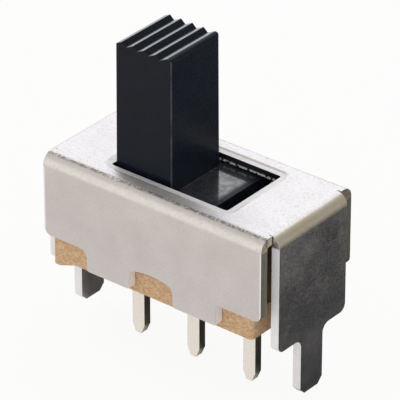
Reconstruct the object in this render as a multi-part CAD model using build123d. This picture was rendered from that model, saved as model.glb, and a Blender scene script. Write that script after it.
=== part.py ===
from build123d import *
from math import cos, radians, tan
import os

# Miniature slide switch, one pole and two positions, for a printed circuit board.
# Millimetres. Z is up, X runs along the slider's travel, and the terminals stand in a row on X.
# The origin is at the middle terminal, on the board's surface, where the end flaps' shoulders rest.

# Tolerance for picking out points and edges, and how far a cutting tool reaches past what it cuts
TINY = 1e-6
TOOL_REACH = 1.0

# Terminals
PITCH = 3.0
PIN_WIDTH = 0.64
PIN_THICKNESS = 0.40
PIN_LENGTH = 3.5
PIN_TIP_WIDTH = 0.28
PIN_TIP_LENGTH = 0.42
BLADE_WIDTH = 1.3
BLADE_HEIGHT = 1.75
BLADE_CORNER = 0.2

# Folded steel case
CASE_LENGTH = 12.2
CASE_WIDTH = 6.0
CASE_HEIGHT = 5.5
SHEET = 0.40
BEND_INSIDE = 0.12
WALL_LENGTH = 11.5
WALL_DEPTH = 4.8
WALL_CORNER = 0.35
NOTCH_DEPTH = 1.0
NOTCH_CORNER = 0.4
TAB_ROOT_CORNER = 0.12
ARCH_RISE = 0.08
ARCH_DROP = 0.12
TAB_WIDTH = 2.3
TAB_SPACING = 4.6
TAB_CORNER = 0.12
FLAP_WIDTH = 4.5
SHOULDER_CORNER = 0.35
LEG_WIDTH = 1.46
LEG_LENGTH = 2.75
LEG_ROOT_FILLET = 0.4
LEG_TIP_CHAMFER = 0.28
RELIEF = 0.05

# Window in the top of the case, with a coined ledge round it
LEDGE_WIDTH = 0.25
LEDGE_DEPTH = 0.045
LEDGE_SLOPE = 66.0
WINDOW_CORNER = 0.12

# Slider
TRAVEL = PITCH
KNOB_LENGTH = 3.0
KNOB_WIDTH = 3.2
KNOB_HEIGHT = 5.7
KNOB_DRAFT = 0.25
KNOB_EDGE = 0.12
KNOB_END_CLEARANCE = 0.05
KNOB_SIDE_CLEARANCE = 0.2
RIDGE_COUNT = 5
RIDGE_DEPTH = 0.19
RIDGE_STEEP_RUN = 0.22
RIDGE_LEFT_LAND = 0.33
RIDGE_RIGHT_LAND = 0.25
KNOB_RIGHT_ROUND = 0.2
KNOB_LEFT_ROUND = 0.14
ROUND_RUNOUT = 0.004
FLANGE_LENGTH = 7.0
FLANGE_THICKNESS = 0.7
FLANGE_CORNER = 0.3
FLANGE_TOP_GAP = 0.1
FLANGE_SIDE_GAP = 0.1
SKIRT_WALL = 0.4
SKIRT_GAP = 0.15
BLADE_GAP = 0.3

# Contact clip
CLIP_SHEET = 0.15
CLIP_WIDTH = 1.6
CLIP_BEND = 0.2
CLIP_LEAN = 28.0
CLIP_PINCH_HEIGHT = 0.95
CLIP_FLARE_HEIGHT = 0.4
CLIP_HEAD_GAP = 0.5
FINGER_WIDTH = 1.1
CONTACT_CLEARANCE = 0.02
CLIP_FIT = 0.05

# Phenolic base
BASE_STANDOFF = 0.4
BASE_SLAB = 1.3
BASE_LEFT_FIT = 0.02
BASE_RIGHT_GAP = 0.7
BASE_SIDE_FIT = 0.02
BASE_CORNER = 0.2
HEEL_DEPTH = 0.3
HEEL_FLAT = 0.4
HEEL_LENGTH = 1.25
TRAY_LENGTH = 9.9
TRAY_INSET = 0.25
TRAY_WALL = 0.75
TRAY_CORNER = 0.4
TRAY_TOP_GAP = 0.05
SLOT_FIT = 0.01
FLOOR_SINK = 0.1

# Levels and half sizes that follow from the values above
case_under = CASE_HEIGHT - SHEET
bend_outside = BEND_INSIDE + SHEET
tab_bottom = CASE_HEIGHT - WALL_DEPTH
notch_top = tab_bottom + NOTCH_DEPTH
window_length = KNOB_LENGTH + TRAVEL + 2 * KNOB_END_CLEARANCE
window_width = KNOB_WIDTH + 2 * KNOB_SIDE_CLEARANCE
slider_rest = -TRAVEL / 2
flange_top = case_under - FLANGE_TOP_GAP
flange_bottom = flange_top - FLANGE_THICKNESS
inside_length = CASE_LENGTH - 2 * SHEET
inside_width = CASE_WIDTH - 2 * SHEET
flange_width = inside_width - 2 * FLANGE_SIDE_GAP
slab_top = BASE_STANDOFF + BASE_SLAB
slab_left = BASE_LEFT_FIT - inside_length / 2
slab_right = inside_length / 2 - BASE_RIGHT_GAP
slab_width = inside_width - 2 * BASE_SIDE_FIT
tray_width = slab_width - 2 * TRAY_INSET
tray_top = flange_bottom - TRAY_TOP_GAP
tray_floor = slab_top - FLOOR_SINK
cavity_length = TRAY_LENGTH - 2 * TRAY_WALL
cavity_width = tray_width - 2 * TRAY_WALL
blade_top = tray_floor + BLADE_HEIGHT
clip_top = blade_top + CLIP_HEAD_GAP + CLIP_SHEET
clip_length = PITCH + FINGER_WIDTH
clip_bottom = tray_floor + CLIP_PINCH_HEIGHT - CLIP_FLARE_HEIGHT
pocket_length = clip_length + 2 * CLIP_FIT
pocket_width = CLIP_WIDTH + 2 * CLIP_FIT
skirt_length = pocket_length + 2 * SKIRT_WALL
skirt_width = cavity_width - 2 * SKIRT_GAP
slot_width = PIN_THICKNESS + 2 * BLADE_GAP


def prism(face, depth, plane=Plane.XZ):
    """A solid of the given outline, centred on the plane and extruded to both sides."""
    return extrude(plane * face, amount=depth / 2, both=True)


def folded_channel(width, drop):
    """Section of a sheet folded down at both ends, with its top at height 0."""
    outer = Pos(0, -drop / 2) * Rectangle(width, drop)
    outer = fillet(outer.vertices().group_by(Axis.Y)[-1], bend_outside)
    inner = Pos(0, -drop / 2 - SHEET) * Rectangle(width - 2 * SHEET, drop)
    inner = fillet(inner.vertices().group_by(Axis.Y)[-1], BEND_INSIDE)
    return outer - inner


def tab_roots(outline, side):
    """Corners where the notches meet the given side (-1 left, 1 right) of each tab."""
    low = notch_top - ARCH_DROP - TINY
    high = notch_top + TINY
    edges = [tab * TAB_SPACING / 2 + side * TAB_WIDTH / 2 for tab in (-1, 1)]
    return [v for v in outline.vertices() if low < v.Y < high and min(abs(v.X - x) for x in edges) < TINY]


def wall_outline():
    """Outline of a long wall: three notches leave two tabs, and the middle notch is arched."""
    blank = Pos(0, (CASE_HEIGHT + notch_top) / 2) * Rectangle(WALL_LENGTH, CASE_HEIGHT - notch_top)
    blank = fillet(blank.vertices().group_by(Axis.Y)[0], WALL_CORNER)
    for side in (-1, 1):
        tab = Pos(side * TAB_SPACING / 2, (tab_bottom + CASE_HEIGHT) / 2)
        blank += tab * Rectangle(TAB_WIDTH, CASE_HEIGHT - tab_bottom)
    half_notch = (TAB_SPACING - TAB_WIDTH) / 2
    arch_foot = notch_top - ARCH_DROP
    arch_top = notch_top + ARCH_RISE
    blank += Pos(0, (arch_foot + CASE_HEIGHT) / 2) * Rectangle(TAB_SPACING, CASE_HEIGHT - arch_foot)
    arc = ThreePointArc((-half_notch, arch_foot), (0, arch_top), (half_notch, arch_foot))
    blank -= make_face([arc, Line((half_notch, arch_foot), (-half_notch, arch_foot))])
    blank = fillet(tab_roots(blank, 1), TAB_ROOT_CORNER)
    blank = fillet(tab_roots(blank, -1), NOTCH_CORNER)
    return fillet(blank.vertices().group_by(Axis.Y)[0], TAB_CORNER)


def flap_outline():
    """Outline of an end flap: shoulders that rest on the board, and a leg that goes through it."""
    flap = Pos(0, CASE_HEIGHT / 2) * Rectangle(FLAP_WIDTH, CASE_HEIGHT)
    flap = fillet(flap.vertices().group_by(Axis.Y)[0], SHOULDER_CORNER)
    flap += Pos(0, -LEG_LENGTH / 2 + SHEET / 2) * Rectangle(LEG_WIDTH, LEG_LENGTH + SHEET)
    roots = [v for v in flap.vertices() if abs(v.Y) < TINY and abs(v.X) < LEG_WIDTH / 2 + TINY]
    flap = fillet(roots, LEG_ROOT_FILLET)
    return chamfer(flap.vertices().group_by(Axis.Y)[0], LEG_TIP_CHAMFER)


def window_cutter():
    """The window through the top, and the sloped ledge coined round it."""
    hole = fillet(Rectangle(window_length, window_width).vertices(), WINDOW_CORNER)
    ledge = fillet(
        Rectangle(window_length + 2 * LEDGE_WIDTH, window_width + 2 * LEDGE_WIDTH).vertices(),
        WINDOW_CORNER + LEDGE_WIDTH,
    )
    through = Pos(0, 0, case_under - TOOL_REACH) * extrude(hole, amount=SHEET + 2 * TOOL_REACH)
    coined = Pos(0, 0, CASE_HEIGHT - LEDGE_DEPTH) * extrude(ledge, amount=LEDGE_DEPTH, taper=-LEDGE_SLOPE)
    return through + coined


def make_case():
    long_fold = prism(folded_channel(CASE_WIDTH, WALL_DEPTH), WALL_LENGTH, Plane.YZ)
    long_fold = Pos(0, 0, CASE_HEIGHT) * long_fold
    long_fold &= prism(wall_outline(), CASE_WIDTH)
    for side in (-1, 1):
        corner_x = side * (CASE_LENGTH + TOOL_REACH - bend_outside) / 2
        relief = Box(bend_outside + TOOL_REACH, FLAP_WIDTH + 2 * RELIEF, 2 * (SHEET + TOOL_REACH))
        long_fold -= Pos(corner_x, 0, CASE_HEIGHT) * relief
    end_fold = prism(folded_channel(CASE_LENGTH, CASE_HEIGHT + LEG_LENGTH), FLAP_WIDTH, Plane.XZ)
    end_fold = Pos(0, 0, CASE_HEIGHT) * end_fold
    end_fold &= prism(flap_outline(), CASE_LENGTH, Plane.YZ)
    return long_fold + end_fold - window_cutter()


def terminal_outline():
    """Flat stamped terminal: a blade above the floor, its shoulders on the floor, and a tapered pin."""
    blade = Pos(0, (blade_top + tray_floor) / 2) * Rectangle(BLADE_WIDTH, BLADE_HEIGHT)
    blade = fillet(blade.vertices().group_by(Axis.Y)[-1], BLADE_CORNER)
    tip_start = -PIN_LENGTH + PIN_TIP_LENGTH
    pin = Polygon(
        (-PIN_WIDTH / 2, tray_floor + BLADE_HEIGHT / 2),
        (-PIN_WIDTH / 2, tip_start),
        (-PIN_TIP_WIDTH / 2, -PIN_LENGTH),
        (PIN_TIP_WIDTH / 2, -PIN_LENGTH),
        (PIN_WIDTH / 2, tip_start),
        (PIN_WIDTH / 2, tray_floor + BLADE_HEIGHT / 2),
        align=None,
    )
    return blade + pin


def make_terminal(place):
    return Pos(place * PITCH, 0, 0) * prism(terminal_outline(), PIN_THICKNESS)


def heel_outline():
    """Outline of the low heel under the base's left end, which thins out towards the middle."""
    return Polygon(
        (slab_left, BASE_STANDOFF + BASE_SLAB / 2),
        (slab_left, BASE_STANDOFF - HEEL_DEPTH),
        (slab_left + HEEL_FLAT, BASE_STANDOFF - HEEL_DEPTH),
        (slab_left + HEEL_LENGTH, BASE_STANDOFF),
        (slab_left + HEEL_LENGTH, BASE_STANDOFF + BASE_SLAB / 2),
        align=None,
    )


def make_base():
    middle = (slab_left + slab_right) / 2
    plan = Pos(middle, 0) * RectangleRounded(slab_right - slab_left, slab_width, BASE_CORNER)
    slab = Pos(0, 0, BASE_STANDOFF) * extrude(plan, amount=BASE_SLAB)
    plan_prism = Pos(0, 0, BASE_STANDOFF - HEEL_DEPTH) * extrude(plan, amount=BASE_SLAB)
    heel = prism(heel_outline(), CASE_WIDTH) & plan_prism
    tray_plan = RectangleRounded(TRAY_LENGTH, tray_width, TRAY_CORNER)
    tray = Pos(0, 0, slab_top) * extrude(tray_plan, amount=tray_top - slab_top)
    cavity_depth = tray_top - tray_floor + TOOL_REACH
    cavity = Pos(0, 0, tray_floor) * extrude(Rectangle(cavity_length, cavity_width), amount=cavity_depth)
    body = slab + heel + tray - cavity
    for place in (-1, 0, 1):
        slot = Box(PIN_WIDTH + 2 * SLOT_FIT, PIN_THICKNESS + 2 * SLOT_FIT, 2 * (BASE_SLAB + TOOL_REACH))
        body -= Pos(place * PITCH, 0, slab_top) * slot
    return body


def knob_half(size, z):
    """Half of the drafted knob's length or width at the given height."""
    return size / 2 - tan(radians(KNOB_DRAFT)) * (z - flange_bottom)


def knob_outline(size, top):
    """Outline of the knob's blank seen from one side, narrower at the top by its draft."""
    foot = size / 2
    head = knob_half(size, top)
    return Polygon((-foot, flange_bottom), (foot, flange_bottom), (head, top), (-head, top), align=None)


def ridge_cutter(knob_top):
    """The air above the saw teeth: steep on the right of a ridge, gentle on its left, round at the ends."""
    first = RIDGE_LEFT_LAND - knob_half(KNOB_LENGTH, knob_top)
    last = knob_half(KNOB_LENGTH, knob_top) - RIDGE_RIGHT_LAND
    pitch = (last - first) / (RIDGE_COUNT - 1)
    gentle_slope = RIDGE_DEPTH / (pitch - RIDGE_STEEP_RUN)
    air = knob_top + RIDGE_DEPTH + TOOL_REACH
    # The roundings run out just past the knob's ends, so that no cut lies in its drafted faces.
    side_z = knob_top - RIDGE_DEPTH - TOOL_REACH
    side_x = knob_half(KNOB_LENGTH, side_z) + ROUND_RUNOUT
    far_x = KNOB_LENGTH / 2 + TOOL_REACH
    left_x = -knob_half(KNOB_LENGTH, knob_top - RIDGE_DEPTH) - ROUND_RUNOUT
    left_corner = (left_x, knob_top - (first - left_x) * gentle_slope)
    right_corner = (knob_half(KNOB_LENGTH, knob_top) + ROUND_RUNOUT, knob_top)
    points = [(-far_x, air), (-far_x, side_z), (-side_x, side_z), left_corner]
    for step in range(RIDGE_COUNT):
        apex = first + step * pitch
        points.append((apex, knob_top))
        if step < RIDGE_COUNT - 1:
            points.append((apex + RIDGE_STEEP_RUN, knob_top - RIDGE_DEPTH))
    points += [right_corner, (side_x, side_z), (far_x, side_z), (far_x, air)]
    outline = Polygon(*points, align=None)
    for corner, radius in ((left_corner, KNOB_LEFT_ROUND), (right_corner, KNOB_RIGHT_ROUND)):
        nearest = outline.vertices().sort_by_distance((*corner, 0))[0]
        outline = fillet(nearest, radius)
    return prism(outline, KNOB_WIDTH + 2 * TOOL_REACH)


def make_knob():
    knob_top = CASE_HEIGHT + KNOB_HEIGHT
    # The blank stands higher than the ridges, which the cutter leaves.
    blank_top = knob_top + RIDGE_DEPTH
    blank = prism(knob_outline(KNOB_LENGTH, blank_top), KNOB_WIDTH + 2 * TOOL_REACH)
    blank &= prism(knob_outline(KNOB_WIDTH, blank_top), KNOB_LENGTH + 2 * TOOL_REACH, Plane.YZ)
    upright_edges = blank.edges().group_by(Axis.Z)[1]
    return fillet(upright_edges, KNOB_EDGE) - ridge_cutter(knob_top)


def make_slider():
    flange_plan = RectangleRounded(FLANGE_LENGTH, flange_width, FLANGE_CORNER)
    flange = Pos(0, 0, flange_bottom) * extrude(flange_plan, amount=FLANGE_THICKNESS)
    skirt_bottom = clip_bottom
    skirt_height = flange_bottom - skirt_bottom
    skirt = Pos(0, 0, skirt_bottom + skirt_height / 2) * Box(skirt_length, skirt_width, skirt_height)
    # The pocket and the slot for the blades are open below, so their tools reach past the skirt.
    open_bottom = skirt_bottom - TOOL_REACH
    pocket_height = clip_top - open_bottom
    pocket = Pos(0, 0, open_bottom + pocket_height / 2) * Box(pocket_length, pocket_width, pocket_height)
    slot_height = blade_top + CLIP_HEAD_GAP / 2 - open_bottom
    slot = Box(skirt_length + 2 * TOOL_REACH, slot_width, slot_height)
    slot = Pos(0, 0, open_bottom + slot_height / 2) * slot
    return Pos(slider_rest, 0, 0) * (make_knob() + flange + skirt - pocket - slot)


def clip_half_path():
    """Middle line of one arm of the clip, from the middle of its head to the flared end."""
    half = CLIP_SHEET / 2
    head = clip_top - half
    arm = CLIP_WIDTH / 2 - half
    lean = radians(CLIP_LEAN)
    # The rounded pinch comes nearest to the blade at the clearance, so its sharp corner lies further in.
    pinch = PIN_THICKNESS / 2 + CONTACT_CLEARANCE + half - CLIP_BEND * (1 / cos(lean) - 1)
    pinch_z = tray_floor + CLIP_PINCH_HEIGHT
    shoulder_z = pinch_z + (arm - pinch) / tan(lean)
    flare = pinch + (pinch_z - clip_bottom) * tan(lean)
    points = [(0, head), (arm, head), (arm, shoulder_z), (pinch, pinch_z), (flare, clip_bottom)]
    return FilletPolyline(*points, radius=CLIP_BEND)


def make_clip():
    path = clip_half_path()
    arm = trace(path, line_width=CLIP_SHEET)
    section = arm + mirror(arm, about=Plane.YZ)
    clip = prism(section, clip_length, Plane.YZ)
    gap = PITCH - FINGER_WIDTH
    arm_top = clip_top - CLIP_SHEET - CLIP_BEND
    cut_height = arm_top - clip_bottom + TOOL_REACH
    clip -= Pos(0, 0, arm_top - cut_height / 2) * Box(gap, CLIP_WIDTH + 2 * TOOL_REACH, cut_height)
    return Pos(slider_rest, 0, 0) * clip


parts = {
    "case": make_case(),
    "base": make_base(),
    "terminal_left": make_terminal(-1),
    "terminal_common": make_terminal(0),
    "terminal_right": make_terminal(1),
    "slider": make_slider(),
    "contact_clip": make_clip(),
}

os.makedirs("parts", exist_ok=True)
for name, shape in parts.items():
    export_step(shape, f"parts/{name}.step")
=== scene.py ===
import math

import bpy
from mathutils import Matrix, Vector


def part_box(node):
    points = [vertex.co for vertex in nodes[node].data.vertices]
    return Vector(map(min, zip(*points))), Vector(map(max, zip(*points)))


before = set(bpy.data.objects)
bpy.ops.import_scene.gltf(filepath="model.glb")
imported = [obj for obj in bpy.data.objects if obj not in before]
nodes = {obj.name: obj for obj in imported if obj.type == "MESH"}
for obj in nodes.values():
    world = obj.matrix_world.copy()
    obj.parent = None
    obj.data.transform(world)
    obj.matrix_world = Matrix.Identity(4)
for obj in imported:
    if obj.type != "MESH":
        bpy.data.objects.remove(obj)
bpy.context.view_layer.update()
MM = 0.001

# Camera, from a fit to the photo
CAMERA_AZIMUTH = math.radians(38.8)
CAMERA_ELEVATION = math.radians(30.2)
CAMERA_DISTANCE = 160 * MM
PIXELS_PER_MM = 24.27
IMAGE_PIXELS = 400
SENSOR_MM = 36.0
TOP_CENTRE_PIXEL = (196.2, 169.4)

# Places on the object that the finishes follow, in millimetres
case_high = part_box("case")[1] / MM
slider_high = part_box("slider")[1] / MM
floor_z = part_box("terminal_common")[0].z / MM
SHEET = 0.40
BEND = 0.52
WALL_INSIDE = case_high.y - SHEET
FLAP_INSIDE = case_high.x - SHEET
WALL_HALF_LENGTH = 5.75
SHEET_BOTTOM = case_high.z - SHEET
BEND_FOOT = 5.0
NOTCH_TOP = 1.8
WINDOW_HALF_LENGTH = 3.05
WINDOW_HALF_WIDTH = 1.8
LEDGE_WIDTH = 0.25
FLANGE_TOP = SHEET_BOTTOM - 0.1
SLAB_TOP = 1.7
RIDGE_REACH = 0.40
GREASE_AND_REFLECTION_END = 1.5

# Light that metal and gloss see, where 1 is white
STUDIO_LEVEL = 0.62
PANEL_EXTRA = 0.68
FRONT_EXTRA = 0.30
BACK_RIGHT_LESS = 0.22
PAINTED_SHADE_LEVEL = 0.03

# Light that matt surfaces see
DIFFUSE_LEVEL = 0.95
KEY_SIZE = 90 * MM
KEY_ENERGY = 0.02
KEY_PLACE = Vector((-80, -100, 130)) * MM

FLOOR_HALF_SIZE = 1.0
FLOOR_WHITE_SHARE = 0.9
PAINTED_SHADE_SLOPE = 1.246
WHITE = (1, 1, 1, 1)


def rgb(r, g, b):
    """Linear colour from sRGB values of 0 to 255."""
    def linear(v):
        v /= 255
        return v / 12.92 if v <= 0.04045 else ((v + 0.055) / 1.055) ** 2.4
    return (linear(r), linear(g), linear(b), 1.0)


def make_camera():
    back = Vector((
        math.sin(CAMERA_AZIMUTH) * math.cos(CAMERA_ELEVATION),
        -math.cos(CAMERA_AZIMUTH) * math.cos(CAMERA_ELEVATION),
        math.sin(CAMERA_ELEVATION),
    ))
    right = Vector((math.cos(CAMERA_AZIMUTH), math.sin(CAMERA_AZIMUTH), 0))
    up = back.cross(right)
    top_centre = Vector((0, 0, case_high.z * MM))
    half = IMAGE_PIXELS / 2
    aside = (TOP_CENTRE_PIXEL[0] - half) / PIXELS_PER_MM * MM
    above = (half - TOP_CENTRE_PIXEL[1]) / PIXELS_PER_MM * MM
    target = top_centre - right * aside - up * above
    data = bpy.data.cameras.new("camera")
    data.sensor_width = SENSOR_MM
    data.lens = PIXELS_PER_MM * (CAMERA_DISTANCE / MM) / IMAGE_PIXELS * SENSOR_MM
    data.clip_start = 0.001
    data.clip_end = 10
    camera = bpy.data.objects.new("camera", data)
    bpy.context.scene.collection.objects.link(camera)
    camera.location = target + back * CAMERA_DISTANCE
    camera.rotation_euler = back.to_track_quat("Z", "Y").to_euler()
    bpy.context.scene.camera = camera


class Nodes:
    """Short words for building a node tree. A value is a number, a tuple or another node's output."""

    def __init__(self, tree):
        self.tree = tree

    def add(self, kind, **settings):
        node = self.tree.nodes.new(kind)
        for name, value in settings.items():
            setattr(node, name, value)
        return node

    def put(self, socket, value):
        if isinstance(value, bpy.types.NodeSocket):
            self.tree.links.new(value, socket)
        elif value is not None:
            socket.default_value = value

    def math(self, operation, a, b=None, clamp=False):
        node = self.add("ShaderNodeMath", operation=operation, use_clamp=clamp)
        self.put(node.inputs[0], a)
        self.put(node.inputs[1], b)
        return node.outputs[0]

    def times(self, a, b):
        return self.math("MULTIPLY", a, b)

    def plus(self, a, b):
        return self.math("ADD", a, b)

    def most(self, a, b):
        return self.math("MAXIMUM", a, b)

    def ramp(self, value, low, high, start=0.0, end=1.0):
        """Goes smoothly from start to end as the value goes from low to high."""
        node = self.add("ShaderNodeMapRange", interpolation_type="SMOOTHSTEP")
        for socket, given in zip(node.inputs, (value, low, high, start, end)):
            self.put(socket, given)
        return node.outputs[0]

    def mix(self, share, a, b):
        node = self.add("ShaderNodeMix", data_type="RGBA")
        self.put(node.inputs[0], share)
        self.put(node.inputs[6], a)
        self.put(node.inputs[7], b)
        return node.outputs[2]

    def split(self, vector):
        node = self.add("ShaderNodeSeparateXYZ")
        self.put(node.inputs[0], vector)
        return node.outputs

    def scaled(self, vector, scale):
        node = self.add("ShaderNodeMapping")
        self.put(node.inputs["Vector"], vector)
        self.put(node.inputs["Scale"], scale)
        return node.outputs[0]

    def noise(self, vector, scale, detail=3.0, roughness=0.55, stretch=None):
        if stretch:
            vector = self.scaled(vector, stretch)
        node = self.add("ShaderNodeTexNoise")
        self.put(node.inputs["Vector"], vector)
        self.put(node.inputs["Scale"], scale)
        self.put(node.inputs["Detail"], detail)
        self.put(node.inputs["Roughness"], roughness)
        return node.outputs[0]

    def all_of(self, *masks):
        result = masks[0]
        for mask in masks[1:]:
            result = self.times(result, mask)
        return result


class Finish(Nodes):
    """A Principled material whose patterns are laid out in millimetres of the object."""

    def __init__(self, name, edge_radius, **constants):
        material = bpy.data.materials.new(name)
        material.use_nodes = True
        super().__init__(material.node_tree)
        self.material = material
        self.shader = material.node_tree.nodes["Principled BSDF"]
        for socket, value in constants.items():
            self.shader.inputs[socket.replace("_", " ")].default_value = value
        place = self.add("ShaderNodeTexCoord")
        self.mm = self.scaled(place.outputs["Object"], (1 / MM, 1 / MM, 1 / MM))
        self.x, self.y, self.z = self.split(self.mm)
        self.nx, self.ny, self.nz = self.split(place.outputs["Normal"])
        self.ax, self.ay = (self.math("ABSOLUTE", value) for value in (self.x, self.y))
        self.anx, self.any = (self.math("ABSOLUTE", value) for value in (self.nx, self.ny))
        self.round = self.add("ShaderNodeBevel", samples=6)
        self.round.inputs["Radius"].default_value = edge_radius * MM

    def lay(self, over, mask, share, colour):
        """The colour with another laid over it, by up to share where mask is 1."""
        return self.mix(self.times(mask, share), colour, over)

    def edge(self):
        """1 on the outer and inner edges, 0 on flat faces."""
        flat = self.add("ShaderNodeNewGeometry")
        dot = self.add("ShaderNodeVectorMath", operation="DOT_PRODUCT")
        self.put(dot.inputs[0], self.round.outputs[0])
        self.put(dot.inputs[1], flat.outputs["Normal"])
        return self.ramp(dot.outputs["Value"], 0.99, 0.86)

    def tilted(self, share, lean):
        """The rounded normal, leaning by the given vector where share is 1."""
        lean_by = self.add("ShaderNodeVectorMath", operation="SCALE")
        lean_by.inputs[0].default_value = lean
        self.put(lean_by.inputs["Scale"], share)
        total = self.add("ShaderNodeVectorMath", operation="ADD")
        self.put(total.inputs[0], self.round.outputs[0])
        self.put(total.inputs[1], lean_by.outputs[0])
        unit = self.add("ShaderNodeVectorMath", operation="NORMALIZE")
        self.put(unit.inputs[0], total.outputs[0])
        return unit.outputs[0]

    def finish(self, colour, roughness, height, depth, normal=None):
        bump = self.add("ShaderNodeBump")
        bump.inputs["Distance"].default_value = depth * MM
        self.put(bump.inputs["Height"], height)
        self.put(bump.inputs["Normal"], normal or self.round.outputs[0])
        self.put(self.shader.inputs["Base Color"], colour)
        self.put(self.shader.inputs["Roughness"], roughness)
        self.put(self.shader.inputs["Normal"], bump.outputs[0])
        return self.material


def plated_steel():
    """Nickel plated sheet: rolled grain, pits and clouds, bare sheared edges, a coined ledge, and painted
    light: highlights on the ledge and along the window's lower edge, shade on the bends, the walls' cut ends
    and the window's walls.
    """
    f = Finish("plated_steel", 0.035, Metallic=1.0)
    cloud = f.noise(f.mm, 0.9, 4.0)
    grain = f.noise(f.mm, 5.0, 3.0, 0.6, (0.35, 3.0, 3.0))
    speckle = f.noise(f.mm, 13.0, 2.0, 0.7)
    matte = f.ramp(f.noise(f.mm, 8.0, 2.0, 0.6), 0.40, 0.66)
    pits = f.ramp(speckle, 0.60, 0.70)
    top = f.ramp(f.nz, 0.90, 0.98)
    below_bend = f.ramp(f.z, BEND_FOOT, BEND_FOOT - 0.1)
    off_y = f.ramp(f.any, 0.5, 0.3)
    off_x = f.ramp(f.anx, 0.5, 0.3)

    # Sheared edges of the long walls and of the end flaps
    off_flaps = f.ramp(f.ax, WALL_HALF_LENGTH + 0.15, WALL_HALF_LENGTH + 0.05)
    wall_edge = f.all_of(f.ramp(f.ay, WALL_INSIDE - 0.04, WALL_INSIDE), off_y, below_bend, off_flaps)
    flap_edge = f.all_of(f.ramp(f.ax, FLAP_INSIDE - 0.04, FLAP_INSIDE), off_x, below_bend)
    cut = f.most(wall_edge, flap_edge)
    in_from_end = f.ramp(f.ax, WALL_HALF_LENGTH - 0.15, WALL_HALF_LENGTH - 0.25)
    notch = f.all_of(wall_edge, in_from_end, f.ramp(f.z, NOTCH_TOP + 0.2, NOTCH_TOP))
    wall_end = f.all_of(wall_edge, f.ramp(f.ax, WALL_HALF_LENGTH - 0.15, WALL_HALF_LENGTH - 0.05))
    flap_side = f.all_of(flap_edge, f.ramp(f.any, 0.6, 0.8))

    # The coined ledge round the window, painted near white as a painted highlight
    ledge_x = WINDOW_HALF_LENGTH + LEDGE_WIDTH
    ledge_y = WINDOW_HALF_WIDTH + LEDGE_WIDTH
    in_x = f.ramp(f.ax, ledge_x + 0.01, ledge_x - 0.01)
    in_y = f.ramp(f.ay, ledge_y + 0.01, ledge_y - 0.01)
    near_top = f.ramp(f.z, case_high.z - 0.2, case_high.z - 0.1)
    ledge = f.all_of(in_x, in_y, f.ramp(f.nz, 0.9, 0.97), near_top)

    # The window's sheared walls are dull and painted dark, a painted shade in the hole, with a bright broken
    # line along their lower edge that is a painted highlight
    hole_x = f.ramp(f.ax, WINDOW_HALF_LENGTH + 0.15, WINDOW_HALF_LENGTH + 0.05)
    hole_y = f.ramp(f.ay, WINDOW_HALF_WIDTH + 0.15, WINDOW_HALF_WIDTH + 0.05)
    in_sheet = f.ramp(f.z, SHEET_BOTTOM - 0.10, SHEET_BOTTOM - 0.05)
    inside = f.all_of(hole_x, hole_y, f.ramp(f.nz, 0.6, 0.4), in_sheet)
    breaks = f.ramp(f.noise(f.mm, 5.0, 2.0), 0.42, 0.50)
    burr_highlight = f.all_of(inside, f.ramp(f.z, SHEET_BOTTOM + 0.14, SHEET_BOTTOM + 0.08), breaks)

    # A broken dark line where the long bends begin, fainter at the back: a painted shade at the bend
    start = case_high.y - BEND
    band = f.all_of(f.ramp(f.ay, start + 0.04, start + 0.12), f.ramp(f.ay, start + 0.28, start + 0.18))
    dashes = f.ramp(f.noise(f.mm, 12.0, 3.0, 0.75, (0.6, 1.0, 1.0)), 0.36, 0.60)
    above = f.ramp(f.z, SHEET_BOTTOM - 0.1, SHEET_BOTTOM + 0.1)
    line = f.all_of(band, above, dashes, f.ramp(f.y, -1.0, 1.0, 0.72, 0.3))

    # The end bends are painted beige olive all over, a painted shade between the light top and the dark flaps
    end_start = case_high.x - BEND
    bent = f.all_of(f.ramp(f.z, 4.9, 5.05), f.ramp(f.nz, 0.97, 0.85), off_y)
    end_bend = f.all_of(f.ramp(f.ax, end_start, end_start + 0.15), bent)

    colour = f.mix(cloud, rgb(236, 234, 235), rgb(247, 246, 247))
    colour = f.lay(rgb(190, 186, 184), matte, f.ramp(f.anx, 0.7, 0.9, 0.10, 0.26), colour)
    colour = f.lay(rgb(150, 142, 134), pits, 0.35, colour)
    colour = f.lay(rgb(246, 246, 248), cut, 0.8, colour)
    # Painted shade: the walls' cut ends are painted a darker olive grey
    colour = f.mix(wall_end, colour, rgb(166, 164, 152))
    colour = f.lay(rgb(222, 214, 194), end_bend, f.ramp(cloud, 0.3, 0.6, 0.6, 1.0), colour)
    colour = f.lay(rgb(74, 72, 84), inside, 0.9, colour)
    colour = f.mix(burr_highlight, colour, rgb(244, 244, 248))
    colour = f.mix(ledge, colour, rgb(250, 250, 252))
    colour = f.mix(line, colour, rgb(96, 74, 60))

    roughness = f.ramp(cloud, 0.3, 0.7, 0.30, 0.38)
    rougher = ((f.most(cut, ledge), 0.25), (pits, 0.12), (matte, 0.08), (f.most(end_bend, top), 0.10))
    for mask, extra in rougher:
        roughness = f.plus(roughness, f.times(mask, extra))

    # The cut sides scatter light like a pale solid, and the top does so slightly
    torn = f.most(f.most(notch, burr_highlight), flap_side)
    milky = f.most(f.times(torn, 0.8), f.times(top, 0.12))
    f.put(f.shader.inputs["Metallic"], f.math("SUBTRACT", 1.0, milky))
    height = f.plus(f.times(grain, 0.3), f.times(speckle, 0.12))
    return f.finish(colour, roughness, height, 0.006)


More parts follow.
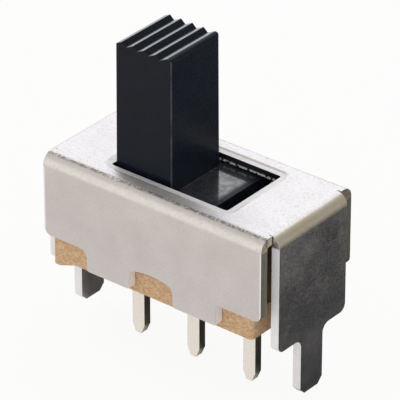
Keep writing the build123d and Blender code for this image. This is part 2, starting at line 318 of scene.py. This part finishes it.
def phenolic():
    """Brown moulded phenolic: short pale and dark fibres in the resin, and a dull skin."""
    f = Finish("phenolic", 0.03, Specular_IOR_Level=0.4)
    fibre = f.noise(f.mm, 6.5, 4.0, 0.7, (1.0, 1.0, 1.5))
    fleck = f.noise(f.mm, 12.0, 3.0, 0.7)
    cloud = f.noise(f.mm, 1.1, 2.0)
    colour = f.mix(f.ramp(fibre, 0.35, 0.65), rgb(192, 152, 110), rgb(224, 193, 158))
    colour = f.lay(rgb(120, 82, 46), f.ramp(fleck, 0.58, 0.68), 0.7, colour)
    colour = f.lay(rgb(232, 208, 170), f.ramp(fleck, 0.40, 0.33), 0.4, colour)
    colour = f.lay(rgb(160, 118, 74), cloud, 0.25, colour)
    # Painted shade: above the slab the tray is painted darker, where it lies in shade within the case
    colour = f.mix(f.ramp(f.z, SLAB_TOP - 0.02, SLAB_TOP + 0.04, 0.0, 0.7), colour, rgb(84, 60, 40))
    height = f.plus(fibre, f.times(fleck, 0.6))
    return f.finish(colour, f.ramp(fibre, 0.3, 0.7, 0.5, 0.7), height, 0.012)


def tinned_brass():
    """Tin plated strip: soft waves of the dip on the faces, and sheared sides where the brass shows."""
    f = Finish("tinned_brass", 0.03, Metallic=1.0)
    wave = f.noise(f.mm, 1.6, 3.0, 0.5, (1.0, 1.0, 0.6))
    speckle = f.noise(f.mm, 16.0, 2.0, 0.6)
    shear = f.noise(f.mm, 6.0, 2.0, 0.6, (1.0, 4.0, 0.5))
    side = f.ramp(f.anx, 0.5, 0.8)
    sheared = f.mix(shear, rgb(128, 126, 104), rgb(162, 160, 140))
    colour = f.mix(wave, rgb(236, 230, 222), rgb(246, 243, 240))
    colour = f.lay(sheared, side, 0.85, colour)
    colour = f.lay(rgb(140, 134, 124), f.ramp(speckle, 0.60, 0.70), 0.3, colour)
    roughness = f.plus(f.ramp(wave, 0.3, 0.7, 0.22, 0.34), f.times(side, 0.15))
    return f.finish(colour, roughness, f.plus(wave, f.times(speckle, 0.3)), 0.012)


def black_plastic():
    """Black moulded acetal: fine mould grain, painted highlights on the edges, corners and gentle ridge
    sides, and a layer of grease on the flange, painted paler grey as a painted reflection.
    """
    f = Finish("black_plastic", 0.03, Specular_IOR_Level=0.14, Coat_Roughness=0.1, Coat_IOR=2.5)
    grain = f.noise(f.mm, 22.0, 2.0, 0.6)
    cloud = f.noise(f.mm, 1.3, 3.0)
    smear = f.noise(f.mm, 2.6, 4.0, 0.65)
    up = f.ramp(f.nz, 0.9, 0.98)
    flange = f.all_of(up, f.ramp(f.z, FLANGE_TOP + 0.05, FLANGE_TOP + 0.02))
    grease_and_reflection_reach = f.ramp(f.x, GREASE_AND_REFLECTION_END + 0.35, GREASE_AND_REFLECTION_END)
    grease_and_reflection = f.all_of(flange, f.ramp(smear, 0.36, 0.62, 0.55, 1.0), grease_and_reflection_reach)

    # A shading device: the gentle side of each ridge is glossy and its normal leans to catch the panel
    ridge_foot = slider_high.z - RIDGE_REACH
    ridge_zone = f.ramp(f.z, ridge_foot - 0.05, ridge_foot)
    gentle = f.all_of(ridge_zone, f.ramp(f.nx, -0.2, -0.35), f.ramp(f.nz, 0.6, 0.75))
    normal = f.tilted(gentle, (0.30, 0.0, 0.10))
    f.put(f.shader.inputs["Coat Weight"], f.most(grease_and_reflection, gentle))
    f.put(f.shader.inputs["Coat Normal"], normal)

    corner_highlight = f.all_of(f.ramp(f.times(f.anx, f.any), 0.36, 0.49), f.ramp(cloud, 0.35, 0.6, 0.4, 1.0))
    colour = f.mix(cloud, rgb(14, 20, 29), rgb(22, 29, 38))
    # Painted highlights: the edges and the rounded corners are painted lighter grey
    colour = f.lay(rgb(66, 70, 80), f.edge(), 0.5, colour)
    colour = f.lay(rgb(92, 96, 106), corner_highlight, 0.55, colour)
    # Grease on the flange, painted paler grey: real grease with a painted reflection
    colour = f.lay(rgb(58, 60, 64), grease_and_reflection, 0.7, colour)
    # Painted highlight: the gentle sides of the ridges are painted paler grey
    colour = f.lay(rgb(96, 100, 108), gentle, 0.3, colour)
    height = f.plus(grain, f.times(cloud, 0.5))
    return f.finish(colour, f.ramp(grain, 0.3, 0.7, 0.26, 0.36), height, 0.004, normal)


def spring_bronze():
    """Rolled bronze strip: long rolling lines and a slight brown bloom."""
    f = Finish("spring_bronze", 0.02, Metallic=1.0)
    rolled = f.noise(f.mm, 8.0, 3.0, 0.6, (0.25, 2.0, 2.0))
    bloom = f.noise(f.mm, 1.5, 3.0)
    colour = f.mix(rolled, rgb(206, 170, 118), rgb(226, 194, 146))
    colour = f.lay(rgb(150, 104, 66), f.ramp(bloom, 0.5, 0.7), 0.5, colour)
    return f.finish(colour, f.ramp(bloom, 0.3, 0.7, 0.24, 0.38), rolled, 0.005)


def make_world():
    """Even light on matt surfaces, a graded studio in metal and gloss, and white for the camera."""
    world = bpy.data.worlds.new("studio")
    bpy.context.scene.world = world
    world.use_nodes = True
    n = Nodes(world.node_tree)
    toward = n.add("ShaderNodeTexCoord").outputs["Generated"]

    def lobe(direction, low, high, amount=1.0):
        dot = n.add("ShaderNodeVectorMath", operation="DOT_PRODUCT")
        n.put(dot.inputs[0], toward)
        n.put(dot.inputs[1], Vector(direction).normalized())
        return n.ramp(dot.outputs["Value"], low, high, 0.0, amount)

    # Metal and gloss show a bright panel at the back left, cream in front and less at the back right
    panel = n.most(lobe((-0.60, 0.70, 0.38), 0.84, 0.95), lobe((-0.20, 0.70, 0.68), 0.90, 0.96))
    dim = lobe((0.62, 0.62, 0.20), 0.35, 0.90, BACK_RIGHT_LESS)
    front = lobe((-0.54, -0.80, 0.25), 0.84, 0.96, FRONT_EXTRA)
    shown = n.plus(n.plus(STUDIO_LEVEL, n.times(panel, PANEL_EXTRA)), front)
    shown = n.math("SUBTRACT", shown, dim)
    shown_tint = n.mix(panel, rgb(250, 243, 234), rgb(252, 252, 255))
    path = n.add("ShaderNodeLightPath")
    seen = path.outputs["Is Camera Ray"]
    glossy = path.outputs["Is Glossy Ray"]
    level = n.ramp(glossy, 0.0, 1.0, DIFFUSE_LEVEL, shown)
    tint = n.mix(glossy, WHITE, shown_tint)
    background = world.node_tree.nodes["Background"]
    n.put(background.inputs["Color"], n.mix(seen, tint, WHITE))
    strength = n.add("ShaderNodeMix", data_type="FLOAT")
    n.put(strength.inputs[0], seen)
    n.put(strength.inputs[2], level)
    n.put(strength.inputs[3], 1.0)
    n.put(background.inputs["Strength"], strength.outputs[0])


def make_floor():
    """Pale floor at the pins' tips. Reflections show painted shade on it in two patches, behind the right end
    and below.
    """
    half = FLOOR_HALF_SIZE
    z = floor_z * MM
    mesh = bpy.data.meshes.new("floor")
    corners = [(-half, -half, z), (half, -half, z), (half, half, z), (-half, half, z)]
    mesh.from_pydata(corners, [], [(0, 1, 2, 3)])
    floor = bpy.data.objects.new("floor", mesh)
    bpy.context.scene.collection.objects.link(floor)
    material = bpy.data.materials.new("floor")
    material.use_nodes = True
    n = Nodes(material.node_tree)
    place = n.scaled(n.add("ShaderNodeTexCoord").outputs["Object"], (1 / MM, 1 / MM, 1 / MM))
    x, y, _ = n.split(place)
    light = n.add("ShaderNodeLightPath")
    glossy = light.outputs["Is Glossy Ray"]

    # The painted shade makes the right flap, left leg and pins' sides dark in the main camera's view. No lamp
    # casts it
    across = n.math("SUBTRACT", y, n.times(n.math("SUBTRACT", x, case_high.x), PAINTED_SHADE_SLOPE))
    beside = n.ramp(n.math("ABSOLUTE", across), 22.0, 12.0)
    behind = n.all_of(beside, n.ramp(x, 3.0, 6.0), n.ramp(x, 70.0, 45.0))
    under = n.all_of(n.ramp(n.math("ABSOLUTE", x), 9.0, 6.5), n.ramp(y, -0.2, 0.6), n.ramp(y, 5.8, 4.8))
    reflected_shade = n.most(behind, under)

    # Elsewhere reflections show a pale floor, greyer in front of the switch and creamy far in front
    pale = n.mix(n.ramp(y, -9.0, -3.5), (0.60, 0.545, 0.515, 1), (0.88, 0.84, 0.80, 1))
    pale = n.mix(n.ramp(y, -14.0, -34.0), pale, (0.95, 0.87, 0.79, 1))
    shader = material.node_tree.nodes["Principled BSDF"]
    n.put(shader.inputs["Base Color"], (0.84, 0.82, 0.79, 1))
    shader.inputs["Roughness"].default_value = 0.9
    shader.inputs["Specular IOR Level"].default_value = 0.0
    shown = n.add("ShaderNodeEmission")
    dark = (PAINTED_SHADE_LEVEL, PAINTED_SHADE_LEVEL, PAINTED_SHADE_LEVEL, 1)
    n.put(shown.inputs["Color"], n.mix(glossy, WHITE, n.mix(reflected_shade, pale, dark)))
    shown.inputs["Strength"].default_value = 1.0
    blend = n.add("ShaderNodeMixShader")
    white_share = n.times(light.outputs["Is Camera Ray"], FLOOR_WHITE_SHARE)
    n.put(blend.inputs[0], n.math("ADD", white_share, glossy, clamp=True))
    n.put(blend.inputs[1], shader.outputs[0])
    n.put(blend.inputs[2], shown.outputs[0])
    n.put(material.node_tree.nodes["Material Output"].inputs["Surface"], blend.outputs[0])
    mesh.materials.append(material)


def make_key():
    """One large soft lamp from the front left, left out of reflections."""
    data = bpy.data.lights.new("key", "AREA")
    data.size = KEY_SIZE
    data.energy = KEY_ENERGY
    lamp = bpy.data.objects.new("key", data)
    bpy.context.scene.collection.objects.link(lamp)
    lamp.location = KEY_PLACE
    lamp.visible_glossy = False
    lamp.rotation_euler = lamp.location.to_track_quat("Z", "Y").to_euler()


make_camera()
make_world()
make_floor()
make_key()

tinned = tinned_brass()
finishes = {
    "case": plated_steel(),
    "base": phenolic(),
    "terminal_left": tinned,
    "terminal_common": tinned,
    "terminal_right": tinned,
    "slider": black_plastic(),
    "contact_clip": spring_bronze(),
}
for name, material in finishes.items():
    nodes[name].data.materials.clear()
    nodes[name].data.materials.append(material)

bpy.context.scene.view_settings.view_transform = "Standard"
